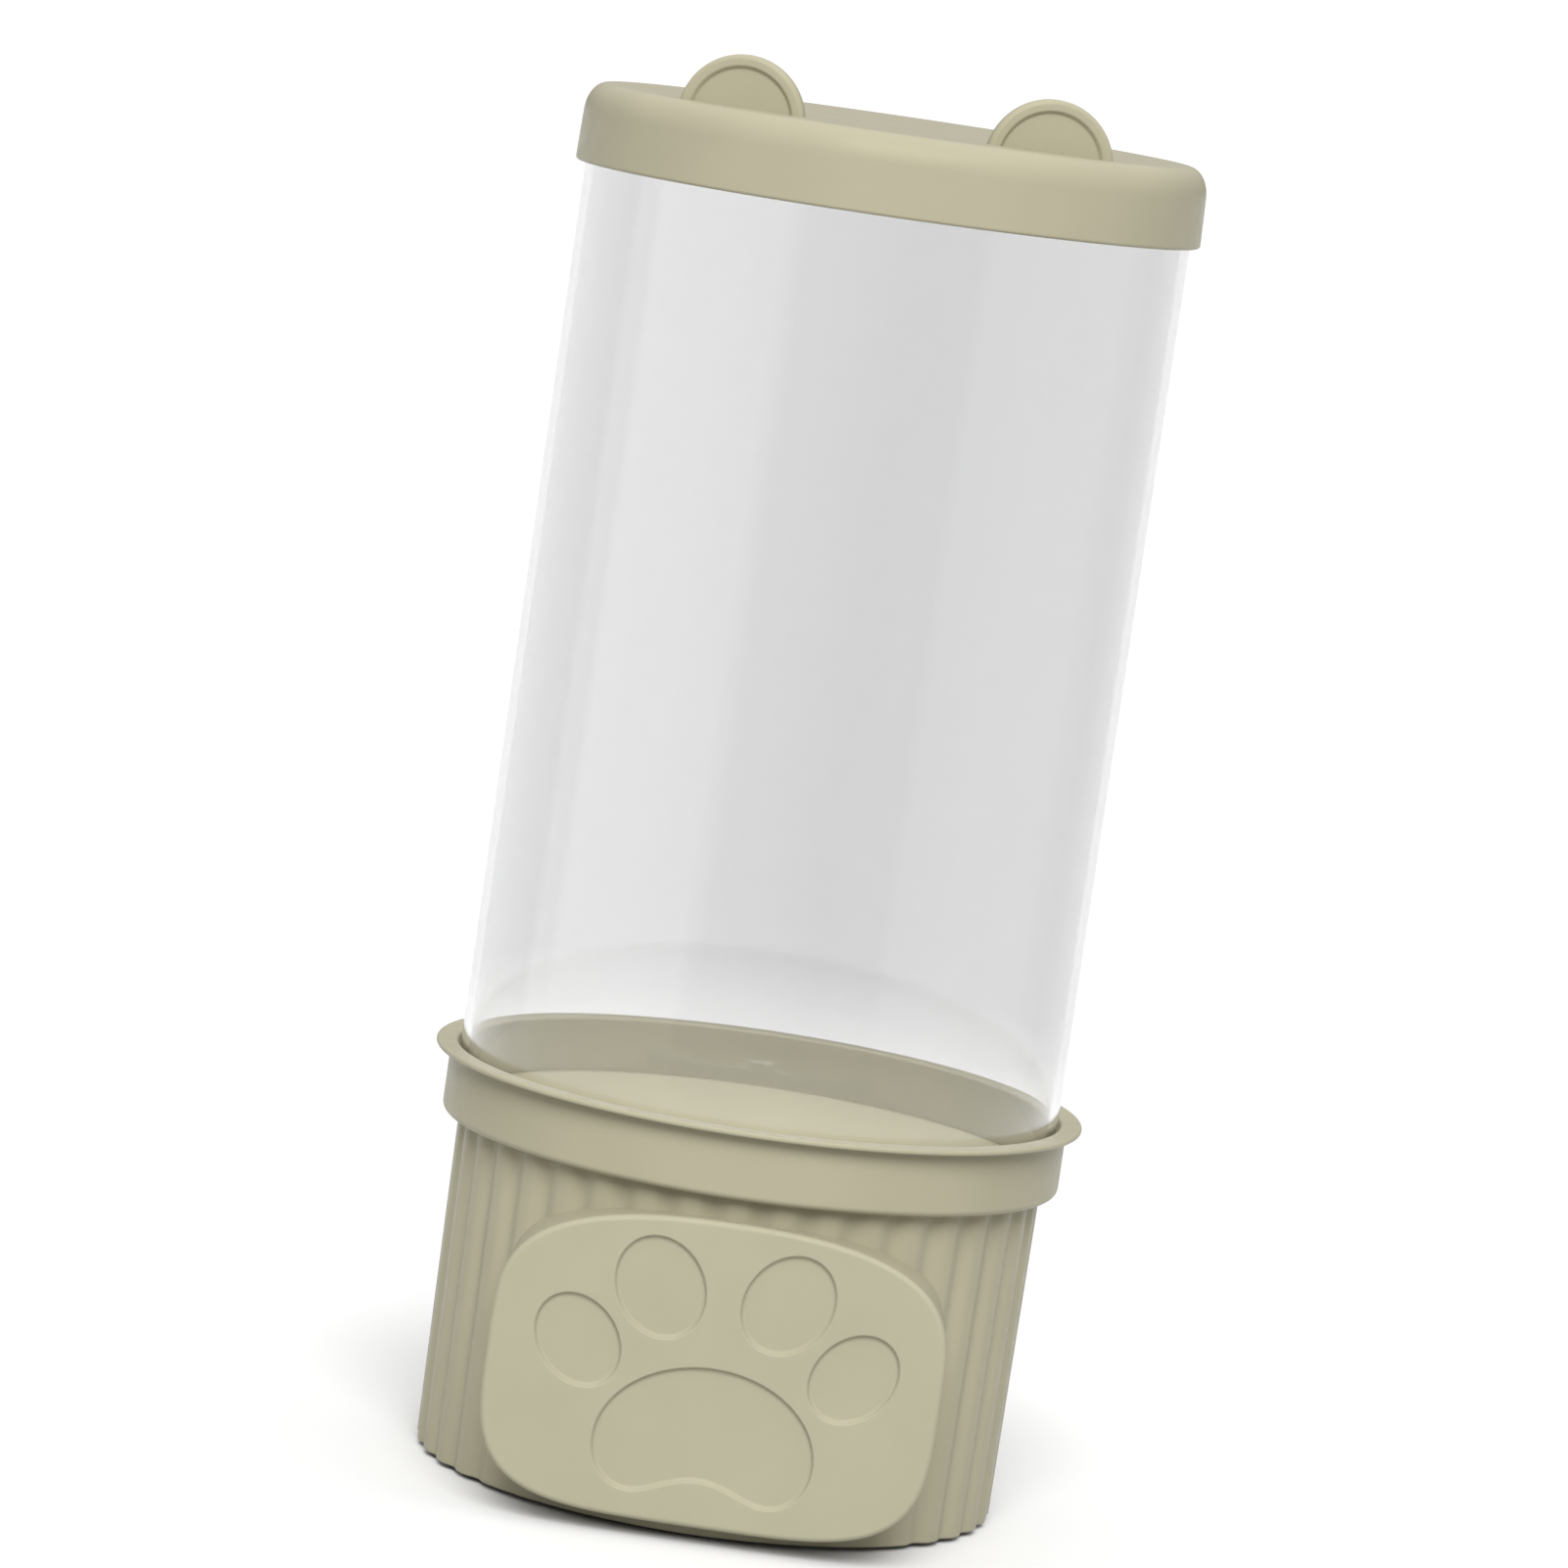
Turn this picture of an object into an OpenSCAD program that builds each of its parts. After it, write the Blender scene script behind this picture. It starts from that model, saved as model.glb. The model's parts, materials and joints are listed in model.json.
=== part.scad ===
// Automatic pet feeder: a clear tube hopper with a cat-ear lid stands in a ribbed base.
// A motor-driven portion wheel drops dry food down a chute into a bin behind the paw plate,
// and the plate and its bin tip forward together on two pins near the floor.
// Frame: +Z up, the front is -Y, and the origin is on the floor at the centre of the base.
// All lengths are in millimetres.

/* [Hopper] */
// Outer radius of the clear tube
tube_r = 65; // [64.9:0.05:65.1]
// Wall of the clear tube
tube_wall = 1.8; // [1.7:0.05:1.8]
// Height of the clear tube
tube_h = 218; // [170:1:240]

/* [Lid] */
// Outer radius of the lid's skirt at its lower edge
lid_r = 67.1; // [67:0.1:69]
// How far the lid's skirt reaches down over the tube
lid_skirt = 14; // [11:0.5:18]
// Radius of each ear
ear_r = 13.6; // [12:0.2:14]
// Turn of each ear away from straight ahead, in degrees
ear_turn = 12; // [0:1:18]

/* [Base] */
// Height of the ledge that the tube stands on
ledge_z = 75; // [75:0.5:76]
// Height of the lip at the top of the base
lip_z = 88.4; // [86:0.2:92]
// Outer radius of the lip
lip_r = 70.3; // [70.1:0.1:72]
// Outer radius of the smooth collar
collar_r = 67.1; // [67:0.1:68]
// Radius of the ribbed wall at the ribs' crests
rib_r = 63.4; // [63.2:0.1:64]
// Depth of the grooves between the ribs
rib_depth = 1.1; // [0.6:0.1:1.2]
// Number of ribs round the base
ribs = 40; // [32:4:48]

/* [Paw plate] */
// Half of the plate's width
plate_a = 47.5; // [46:0.1:47.8]
// Height of the plate above its widest place
plate_b = 31.5; // [31:0.1:32]
// Height of the plate below its widest place
plate_low_b = 33.4; // [32:0.1:33.4]
// Thickness of the plate
plate_t = 3.1; // [2.8:0.1:3.3]
// Depth of the paw print
paw_depth = 1; // [0.6:0.1:1.4]

/* [Feed mechanism] */
// Inside radius of the portion wheel's drum
drum_r = 42; // [40:0.5:42]
// Number of vanes on the portion wheel
vanes = 6; // [6:6:12]
// Radius of the tip-out bin's curved back about its hinge pins
bin_r = 34.5; // [30:0.5:34.5]

/* [Hidden] */

$fn = 96;
cut = 0.1;            // overshoot of cutting shapes past a face
run = 0.05;           // radial clearance of a running fit

shell_colour = [0.75, 0.73, 0.61];
plate_colour = [0.78, 0.77, 0.67];
clear_colour = [0.85, 0.87, 0.88, 0.35];
inner_colour = [0.88, 0.87, 0.83];
rubber_colour = [0.16, 0.16, 0.16];
steel_colour = [0.72, 0.72, 0.74];
brass_colour = [0.80, 0.66, 0.34];
board_colour = [0.12, 0.38, 0.22];
wheel_colour = [0.55, 0.62, 0.60];
nylon_colour = [0.92, 0.92, 0.90];
black_colour = [0.13, 0.13, 0.14];
cell_colour = [0.25, 0.27, 0.30];
lens_colour = [0.9, 0.95, 0.9, 0.6];
wire_colour = [0.65, 0.12, 0.10];

// Hopper and lid
tube_in_r = tube_r - tube_wall;
tube_top_z = ledge_z + tube_h;
lid_play = 0.2;                         // gap between the tube's rim and the lid's ceiling
lid_ceiling_z = tube_top_z + lid_play;
lid_top_wall = 2.7;
lid_top_z = lid_ceiling_z + lid_top_wall;
lid_bottom_z = lid_ceiling_z - lid_skirt - lid_play;
lid_wall = 1.6;
lid_taper = 0.3;                        // the skirt leans in by this up to the shoulder
lid_round_x = 4.4;                      // the rounded shoulder, across and down
lid_round_z = 6.5;
plug_r = 62.6;
plug_wall = 3;
plug_lead = 1;                          // height of the bevel on the plug's lower edge
plug_bottom_z = lid_ceiling_z - 13;
seal_in_r = 61.2;
seal_r = 62.9;
seal_z = plug_bottom_z + 3;
seal_h = 3.2;
ear_t = 3.4;
ear_x = 32.1;
ear_y = -42;
ear_centre_z = lid_top_z - 2.6;
ear_root = 0.6;                         // the ear is cut off at this height above its centre
ear_border = 2.4;
ear_recess = 0.8;

// Base
cup_bottom_z = 1;
cavity_r = 60.9;
mouth_r = tube_r + 0.6;
ledge_t = 2.6;
collar_bottom_z = ledge_z - ledge_t;
lip_t = 1.2;
rib_steps = 6;
smooth_x = 47.5;                        // the wall has no ribs below the plate's lower corners
smooth_z = 18;
boss_y = -66.6;                         // front face of the boss behind the plate
boss_back_y = -36;
boss_wall = 2.2;
boss_inset = 0.6;                       // how far the boss's outline lies inside the plate's
window_x = 31.5;
window_z = [3.9, 60.5];
sill_y = -62.3;                         // the lower ring is cut flat here to let the plate's edge swing
relief = [36, -65.9, 7.8];              // the boss's lower corners are cut back here for the same reason
pillar_ring = 54;
pillar_angles = [-14, 56, 124, 194];
pillar_r = 4;
web_half = 1.2;
pilot_r = 1.3;
pilot_depth = 10;

// Plate and bin, which tip about the pins at [pin_y, pin_z]
plate_face_y = -70;
plate_back_y = plate_face_y + plate_t;
plate_z = 37.45;
pin_y = -63;
pin_z = 8.5;
pin_r = 1.5;
pin_gap = 0.2;                          // end play between a pin and its blind cheek hole
cheek_t = 3.5;
cheek_y = [-65.4, -52];
cheek_z = [6.2, 24];
pin_hole_x = window_x + cheek_t - 0.6;  // ends of the blind holes in the cheeks
bin_x = 30;
bin_wall = 1.8;
bin_front_t = 2;
bin_floor_z = 6.5;
bin_front_top_z = 57;
bin_side_top = 62;                      // degrees above the horizontal at the pins
bin_back_top = 30;
bin_ear_r = 3;
bin_stop_angle = 50;
bin_stop_r = 1.2;
bin_stop_ring = 32;
bin_stop_reach = 2.4;                   // how far a stop stands out from the bin's side
bin_fan_start = -3;                     // the fan-shaped side begins a little below the pins
bin_screw_x = 24;
bin_screw_z = [18, 50];

// Portion wheel, drum and funnel
drum_wall = 2;
floor_z = [44, 46];
drum_top_z = 62;
wheel_z = [46.6, 61.4];
wheel_r = drum_r - 0.7;
hub_r = 8;
neck_r = 4.95;
bush_r = 7;
shaft_r = 1.5;
shaft_z = [37.2, 68];
outlet_r = [18, 41.5];
outlet_half = 36;
stirrer_z = [61.5, 70];
stirrer_reach = 34;
funnel_flange_r = 62.9;
funnel_flange_t = 1.6;
funnel_wall = 1.8;
shield_t = 2;
shield_half = 41;
chute_x = 26;
chute_wall = 1.6;
chute_back_y = -17;
chute_foot = [-36.2, 31.6];             // Y and Z of the slope's lower end
chute_front = [-43.8, 38.4];

// Motor
motor_half = [6, 5];
gearbox_z = [35, 44];
can_z = [20.6, 35];
motor_screw_x = 11;
motor_boss_r = 2.8;
motor_boss_z = 39;
bracket_z = [35.4, 42.8];
bracket_wall = 1.4;
bracket_gap = 0.1;

// Bottom cover, feet and battery door
cover_r = 60.4;
cover_z = [1.8, 4.2];
foot_ring = 52;
foot_r = 5.5;
foot_top_z = 2.6;
door_x = 23.2;
door_y = [-8.5, 44.5];
door_z = [1.9, 2.7, 3.5];
door_travel = 6;
door_lip = 1.7;
bay_x = 21;
bay_y = [-7, 43];
screw_head_r = 2.6;
screw_head_t = 1.2;

// Batteries, three cells side by side along Y
cell_pitch = 15.4;
cell_r = 7.1;
cell_length = 50.5;
tab_y = [-9.5, 44.1];                   // outer faces of the front and back contact tabs
tab_t = 0.4;
spring_pitch = 0.9;
cell_z = 12;
holder_x = 24;
holder_y = [-11, 46.5];
holder_z = [4.3, 20];

// Rear controls and board
button_z = 34;
button_r = 5.1;
button_face_y = 65;
button_flange_y = 58.6;
seat_face_y = 64;
seat_root_y = 50;
seat_r = 9;
lens_seat_r = 5;
lens_x = 13;
lens_r = 2;
board_x = 18;
board_y = [52, 53.6];
board_z = [21.5, 43.5];
board_post = [14.5, 24.5, 40.5];        // x, lower z and upper z of the board's posts
post_r = 2.6;
small_pilot_r = 0.9;
switch_depth = 2.4;
plunger = 0.5;
plug_x = [-8, 8];                       // battery and motor plugs on the board's inner face
plug_y = board_y[0] - 4.5;
plug_z = 26.5;

// Points of an ellipse turned by an angle, round a centre
function ellipse(centre, rx, ry, turn) = [
  for (a = [0:7.5:352.5])
    centre + [rx*cos(a)*cos(turn) - ry*sin(a)*sin(turn), rx*cos(a)*sin(turn) + ry*sin(a)*cos(turn)]
];

function signed_power(value, power) = sign(value)*pow(abs(value), power);

// The plate's outline in X and Z, grown by a margin. Its upper half slopes away at the sides,
// and its lower half is squarer.
plate_top_power = [2/2.45, 2/3.7];
plate_low_power = 2/4;
function plate_outline(grow) = [
  for (a = [0:5:355])
    a < 180
      ? [(plate_a + grow)*signed_power(cos(a), plate_top_power[0]),
         (plate_b + grow)*pow(sin(a), plate_top_power[1])]
      : [(plate_a + grow)*signed_power(cos(a), plate_low_power),
         (plate_low_b + grow)*signed_power(sin(a), plate_low_power)]
];

// The wavy outline of the ribbed wall
function rib_outline() = [
  for (i = [0:ribs*rib_steps - 1])
    let (a = 360*i/(ribs*rib_steps), r = rib_r - rib_depth*(0.5 - 0.5*cos(ribs*a)))
      [r*cos(a), r*sin(a)]
];

// The large pad: half an ellipse above its widest place, and below it two lobes with a rise
// between them
pad_half = 23.1;
pad_wide_z = -17.35;
pad_top = 17.8;
pad_lobes = 10.8;
pad_rise = 4.7;
pad_rise_half = 17.2;
pad_steps = 32;
function pad_drop(x) =
  pad_lobes*sqrt(max(0, 1 - pow(abs(x)/pad_half, 5)))
  - pad_rise*pow(cos(min(90, abs(x)/pad_rise_half*90)), 2);
function pad_outline() = concat(
  [for (a = [0:6:180]) [pad_half*cos(a), pad_wide_z + pad_top*sin(a)]],
  [for (i = [1:pad_steps - 1]) let (x = -pad_half*cos(i*180/pad_steps)) [x, pad_wide_z - pad_drop(x)]]
);

// Toes: centre, radii and turn of the outer and the inner pair
outer_toe = [28.9, 2.6, 8.2, 10.4, 40];
inner_toe = [13.4, 16.05, 9.1, 11, 30];

// Lays an outline drawn in X and Z as a plate that runs from y_front back towards +Y
module upright(y_front, depth, z = 0) {
  translate([0, y_front + depth, z]) rotate([90, 0, 0]) linear_extrude(depth) children();
}

// A cylinder along +Y or along +X, starting at a point
module rod_y(at, r, length) { translate(at) rotate([-90, 0, 0]) cylinder(r = r, h = length); }
module rod_x(at, r, length) { translate(at) rotate([0, 90, 0]) cylinder(r = r, h = length); }

// A ring about the Z axis
module ring(r_in, r_out, z0, z1) {
  translate([0, 0, z0]) difference() {
    cylinder(r = r_out, h = z1 - z0);
    translate([0, 0, -cut]) cylinder(r = r_in, h = z1 - z0 + 2*cut);
  }
}

// A block between two corners
module block(low, high) { translate(low) cube(high - low); }

// A sector of a ring, opening towards the front
module front_sector(r_in, r_out, half, z0, z1) {
  reach = 2*r_out;
  intersection() {
    ring(r_in, r_out, z0, z1);
    translate([0, 0, z0]) linear_extrude(z1 - z0)
      polygon([[0, 0], [-reach*sin(half), -reach*cos(half)], [reach*sin(half), -reach*cos(half)]]);
  }
}

// A pan-head screw whose head rests on z = 0 and whose shank runs up
module screw(head_r, head_t, shank_r, length) {
  difference() {
    union() {
      translate([0, 0, -head_t]) cylinder(r = head_r, h = head_t);
      cylinder(r = shank_r, h = length);
    }
    for (a = [0, 90]) rotate(a) translate([-head_r*0.6, -0.3, -head_t - cut]) cube([head_r*1.2, 0.6, 0.7]);
  }
}

module at_pillars() {
  for (a = pillar_angles) translate([pillar_ring*cos(a), pillar_ring*sin(a), 0]) children();
}

// Lid: a skirt with a rounded shoulder, a plug ring that centres it, and two ears
module lid_body() {
  flat_r = lid_r - lid_taper - lid_round_x;
  rotate_extrude() polygon(concat(
    [[0, lid_ceiling_z], [plug_r - plug_wall, lid_ceiling_z], [plug_r - plug_wall, plug_bottom_z],
     [plug_r - 0.6*plug_lead, plug_bottom_z], [plug_r, plug_bottom_z + plug_lead], [plug_r, seal_z],
     [seal_in_r, seal_z],
     [seal_in_r, seal_z + seal_h], [plug_r, seal_z + seal_h], [plug_r, lid_ceiling_z],
     [lid_r - lid_wall, lid_ceiling_z], [lid_r - lid_wall, lid_bottom_z], [lid_r, lid_bottom_z]],
    [for (a = [0:15:90]) [flat_r + lid_round_x*cos(a), lid_top_z - lid_round_z*(1 - sin(a))]],
    [[0, lid_top_z]]
  ));
}

module ear(side) {
  translate([side*ear_x, ear_y, ear_centre_z]) rotate([0, 0, side*ear_turn]) difference() {
    rod_y([0, -ear_t/2, 0], ear_r, ear_t);
    rod_y([0, -ear_t/2 - cut, 0], ear_r - ear_border, ear_recess + cut);
    block([-ear_r - 1, -ear_t, -ear_r - 1], [ear_r + 1, ear_t, ear_root]);
  }
}

module lid() {
  color(shell_colour) {
    lid_body();
    ear(-1);
    ear(1);
  }
}

module lid_seal() {
  color(rubber_colour) ring(seal_in_r, seal_r, seal_z, seal_z + seal_h);
}

// Clear tube, open at both ends
module hopper_tube() {
  color(clear_colour) ring(tube_in_r, tube_r, ledge_z, tube_top_z);
}

// Boss behind the plate, with the plate's outline
module boss(front_y, grow) {
  upright(front_y, boss_back_y - front_y, plate_z) polygon(plate_outline(grow));
}

// Hollow of the boss, with a cheek left standing at each end for the hinge pins
module boss_hollow() {
  difference() {
    boss(boss_y + boss_wall, -boss_inset - boss_wall);
    cheeks();
  }
}

module cheeks() {
  for (x = [-window_x - cheek_t, window_x])
    block([x, cheek_y[0], cheek_z[0]], [x + cheek_t, cheek_y[1], cheek_z[1]]);
}

module collar() {
  rotate_extrude() polygon([
    [cavity_r, collar_bottom_z], [collar_r, collar_bottom_z], [collar_r, lip_z - lip_t],
    [lip_r, lip_z - lip_t], [lip_r, lip_z], [mouth_r, lip_z], [mouth_r, ledge_z], [cavity_r, ledge_z]
  ]);
}

// Smooth raised seat for the button and the lens at the back
module control_seat() {
  rod_y([0, seat_root_y, button_z], seat_r, seat_face_y - seat_root_y);
  rod_y([lens_x, seat_root_y, button_z], lens_seat_r, seat_face_y - seat_root_y);
  block([0, seat_root_y, button_z - lens_seat_r], [lens_x, seat_face_y, button_z + lens_seat_r]);
}

// The wall below the plate's lower corners, where the ribs stop
module smooth_front() {
  intersection() {
    translate([0, 0, cup_bottom_z]) cylinder(r = rib_r, h = smooth_z - cup_bottom_z);
    block([-smooth_x, -rib_r, 0], [smooth_x, boss_back_y, smooth_z]);
  }
}

module cup_outside() {
  translate([0, 0, cup_bottom_z]) linear_extrude(collar_bottom_z - cup_bottom_z + cut) polygon(rib_outline());
  smooth_front();
  boss(boss_y, -boss_inset);
  cheeks();
  control_seat();
}

// Pillars inside the wall carry the rotor housing above and the bottom cover below
module pillars() {
  for (a = pillar_angles) rotate(a) difference() {
    union() {
      translate([pillar_ring, 0, cover_z[1]]) cylinder(r = pillar_r, h = floor_z[0] - cover_z[1]);
      block([pillar_ring, -web_half, cover_z[1]], [cavity_r + 0.6, web_half, floor_z[0]]);
    }
    translate([pillar_ring, 0, cover_z[1] - cut]) cylinder(r = pilot_r, h = pilot_depth + cut);
    translate([pillar_ring, 0, floor_z[0] - pilot_depth]) cylinder(r = pilot_r, h = pilot_depth + cut);
  }
}

module board_posts() {
  for (x = [-board_post[0], board_post[0]], z = [board_post[1], board_post[2]]) difference() {
    rod_y([x, board_y[1], z], post_r, cavity_r - 0.7 - board_y[1]);
    rod_y([x, board_y[1] - cut, z], small_pilot_r, 5 + cut);
  }
}

module base_cup() {
  color(shell_colour) {
    difference() {
      cup_outside();
      translate([0, 0, -cut]) cylinder(r = cavity_r, h = ledge_z + 2*cut);
      boss_hollow();
      block([-window_x, -75, window_z[0]], [window_x, -48, window_z[1]]);
      block([-window_x, -75, -cut], [window_x, sill_y, window_z[0] + cut]);
      block([-relief[0], -75, 0], relief);
      rod_x([-pin_hole_x, pin_y, pin_z], pin_r + run, 2*pin_hole_x);
      rod_y([0, 45, button_z], button_r + 0.3, 25);
      rod_y([lens_x, 45, button_z], lens_r, 25);
    }
    collar();
    pillars();
    board_posts();
  }
}

// Bottom cover: a disc with a sliding door over the battery bay
module bottom_cover() {
  color(shell_colour) difference() {
    translate([0, 0, cover_z[0]]) cylinder(r = cover_r, h = cover_z[1] - cover_z[0]);
    block([-bay_x, bay_y[0], 0], [bay_x, bay_y[1], 5]);
    block([-door_x - 0.3, door_y[0] - 0.3, door_z[1] - 0.1],
          [door_x + 0.3, door_y[1] + door_travel + 0.5, door_z[2] + 0.1]);
    block([-door_x + door_lip - 0.3, door_y[0] - 0.3, 0],
          [door_x - door_lip + 0.3, door_y[1] + door_travel + 0.5, door_z[1]]);
    at_pillars() translate([0, 0, -cut]) cylinder(r = pilot_r + 0.4, h = 6);
    at_pillars() translate([0, 0, -cut])
      cylinder(r = screw_head_r + 0.3, h = cover_z[0] + screw_head_t + cut);
    at_feet() translate([0, 0, -cut]) cylinder(r = foot_r, h = foot_top_z + cut);
  }
}

module cover_screws() {
  color(steel_colour) at_pillars() translate([0, 0, cover_z[0] + screw_head_t])
    screw(screw_head_r, screw_head_t, pilot_r, 9);
}

module at_feet() {
  for (a = [45:90:315]) translate([foot_ring*cos(a), foot_ring*sin(a), 0]) children();
}

module rubber_feet() {
  color(rubber_colour) at_feet() rotate_extrude()
    polygon([[0, 0], [foot_r - 0.8, 0], [foot_r, 0.8], [foot_r, foot_top_z], [0, foot_top_z]]);
}

// Funnel: a flange on the base's ledge, a cone, and a flat shield above the outlet
module feed_funnel() {
  cone_in_r = funnel_flange_r - 1.6;
  color(shell_colour) {
    rotate_extrude() polygon([
      [drum_r, drum_top_z], [drum_r + drum_wall, drum_top_z],
      [cavity_r - 0.5, ledge_z - 0.6], [cavity_r - 0.5, ledge_z], [funnel_flange_r, ledge_z],
      [funnel_flange_r, ledge_z + funnel_flange_t], [cone_in_r, ledge_z + funnel_flange_t],
      [drum_r, drum_top_z + funnel_wall]
    ]);
    front_sector(10, drum_r + 0.5, shield_half, drum_top_z, drum_top_z + shield_t);
  }
}

// Drum, floor and lugs that hold the portion wheel
module rotor_housing() {
  color(inner_colour) difference() {
    union() {
      translate([0, 0, floor_z[0]]) cylinder(r = drum_r + drum_wall, h = drum_top_z - floor_z[0]);
      for (a = pillar_angles) rotate(a) {
        block([drum_r, -pillar_r, floor_z[0]], [pillar_ring, pillar_r, floor_z[1]]);
        translate([pillar_ring, 0, floor_z[0]]) cylinder(r = pillar_r, h = floor_z[1] - floor_z[0]);
      }
      for (x = [-motor_screw_x, motor_screw_x])
        translate([x, 0, motor_boss_z]) cylinder(r = motor_boss_r, h = floor_z[0] - motor_boss_z + cut);
    }
    translate([0, 0, floor_z[1]]) cylinder(r = drum_r, h = drum_top_z);
    translate([0, 0, floor_z[0] - 1]) cylinder(r = bush_r, h = 5);
    front_sector(outlet_r[0], outlet_r[1], outlet_half, floor_z[0] - 1, floor_z[1] + 1);
    at_pillars() translate([0, 0, floor_z[0] - 1]) cylinder(r = pilot_r + 0.4, h = 5);
    for (x = [-motor_screw_x, motor_screw_x])
      translate([x, 0, motor_boss_z - cut]) cylinder(r = small_pilot_r, h = 6);
  }
}

module housing_screws() {
  color(steel_colour) at_pillars() translate([0, 0, floor_z[1]]) mirror([0, 0, 1])
    screw(screw_head_r, screw_head_t, pilot_r, 9);
}

// Sloping chute under the outlet, with two side walls
module outlet_chute() {
  back = [[chute_back_y, floor_z[0]], [chute_back_y, floor_z[0] - chute_wall]];
  lip = chute_foot + [-0.4, 1.2];
  color(inner_colour) {
    translate([-chute_x, 0, 0]) rotate([90, 0, 90]) linear_extrude(2*chute_x)
      polygon(concat(back, [chute_foot, lip]));
    for (x = [-chute_x, chute_x - chute_wall])
      translate([x, 0, 0]) rotate([90, 0, 90]) linear_extrude(chute_wall)
        polygon(concat(back, [chute_foot, lip - [0, 0.2], chute_front, [chute_front[0], floor_z[0]]]));
  }
}

module shaft_bush() {
  color(brass_colour) ring(neck_r + run, bush_r, floor_z[0] - 0.8, floor_z[1]);
}

module portion_wheel() {
  color(wheel_colour) difference() {
    union() {
      translate([0, 0, wheel_z[0]]) cylinder(r = hub_r, h = wheel_z[1] - wheel_z[0]);
      translate([0, 0, floor_z[0] + 0.4]) cylinder(r = neck_r, h = wheel_z[0] - floor_z[0]);
      for (i = [0:vanes - 1]) rotate(i*360/vanes)
        block([hub_r - 1, -1, wheel_z[0]], [wheel_r, 1, wheel_z[1]]);
    }
    translate([0, 0, floor_z[0]]) cylinder(r = shaft_r, h = 20);
  }
}

module output_shaft() {
  color(steel_colour) difference() {
    translate([0, 0, shaft_z[0]]) cylinder(r = shaft_r, h = shaft_z[1] - shaft_z[0]);
    translate([0, 0, shaft_z[1] - 6]) cylinder(r = 0.9, h = 7);
  }
}

// Stirrer with two level arms that keep the food moving
module stirrer() {
  color(wheel_colour) difference() {
    union() {
      translate([0, 0, stirrer_z[0]]) cylinder(r = 6, h = stirrer_z[1] - stirrer_z[0]);
      rod_x([-stirrer_reach, 0, stirrer_z[1] - 2.6], 2, 2*stirrer_reach);
      for (side = [-1, 1]) translate([side*stirrer_reach, 0, stirrer_z[1] - 2.6]) sphere(r = 2);
    }
    translate([0, 0, stirrer_z[0] - cut]) cylinder(r = shaft_r, h = shaft_z[1] - stirrer_z[0] + cut);
    translate([0, 0, stirrer_z[0]]) cylinder(r = 1, h = 10);
  }
}

module stirrer_screw() {
  color(steel_colour) translate([0, 0, stirrer_z[1]]) mirror([0, 0, 1]) screw(3, 1.6, 0.9, 7);
}

// Small gear motor hung under the drum's floor
module motor_can() {
  color(steel_colour) intersection() {
    translate([0, 0, can_z[0]]) cylinder(r = motor_half[0], h = can_z[1] - can_z[0]);
    block([-10, -motor_half[1], can_z[0]], [10, motor_half[1], can_z[1]]);
  }
}

module motor_gearbox() {
  plate = 1;
  color(brass_colour) difference() {
    union() {
      for (z = [gearbox_z[0], gearbox_z[1] - 0.9 - plate])
        block([-motor_half[0], -motor_half[1], z], [motor_half[0], motor_half[1], z + plate]);
      for (x = [-4.6, 4.6], y = [-3.6, 3.6])
        translate([x, y, gearbox_z[0]]) cylinder(r = 1, h = gearbox_z[1] - gearbox_z[0] - 1);
      translate([0, 0, gearbox_z[0]]) cylinder(r = 3, h = gearbox_z[1] - gearbox_z[0] - 0.6);
    }
    translate([0, 0, shaft_z[0] - 0.2]) cylinder(r = shaft_r + run, h = 12);
  }
}

module motor_bracket() {
  x_in = motor_half[0] + bracket_gap;
  y_in = motor_half[1] + bracket_gap;
  lug_x = motor_screw_x + motor_boss_r;
  color(nylon_colour) difference() {
    union() {
      block([-x_in - bracket_wall, -motor_half[1], bracket_z[0]],
            [x_in + bracket_wall, y_in + bracket_wall, bracket_z[1]]);
      block([-lug_x, -motor_boss_r, motor_boss_z - 1.6], [lug_x, motor_boss_r, motor_boss_z]);
    }
    block([-x_in, -motor_half[1] - 1, bracket_z[0] - 1], [x_in, y_in, bracket_z[1] + 1]);
    for (x = [-motor_screw_x, motor_screw_x]) {
      translate([x, 0, bracket_z[0] - 1]) cylinder(r = 1.1, h = 10);
      translate([x, 0, motor_boss_z]) cylinder(r = motor_boss_r + 0.1, h = 6);
    }
  }
}

module motor_screws() {
  color(steel_colour) for (x = [-motor_screw_x, motor_screw_x])
    translate([x, 0, motor_boss_z - 1.6]) screw(1.9, 1, 0.9, 6);
}

// Side wall of the bin in Y and Z: a round ear at the pins, and a fan with the curved back
module bin_side() {
  fan = [for (a = [bin_fan_start:5:bin_side_top]) [pin_y + bin_r*cos(a), pin_z + bin_r*sin(a)]];
  rotate([90, 0, 90]) linear_extrude(bin_wall) union() {
    polygon(concat(
      [[plate_back_y, bin_floor_z], [pin_y + bin_r*cos(bin_fan_start), bin_floor_z]], fan,
      [[plate_back_y + bin_front_t, bin_front_top_z], [plate_back_y, bin_front_top_z]]
    ));
    translate([pin_y, pin_z]) circle(r = bin_ear_r);
  }
}

// Curved back wall of the bin, up to an angle above the pins
module bin_back() {
  intersection() {
    difference() {
      rod_x([-bin_x, pin_y, pin_z], bin_r, 2*bin_x);
      rod_x([-bin_x - cut, pin_y, pin_z], bin_r - bin_wall, 2*bin_x + 2*cut);
    }
    block([-bin_x, pin_y, bin_floor_z], [bin_x, 0, pin_z + bin_r*sin(bin_back_top)]);
  }
}

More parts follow.
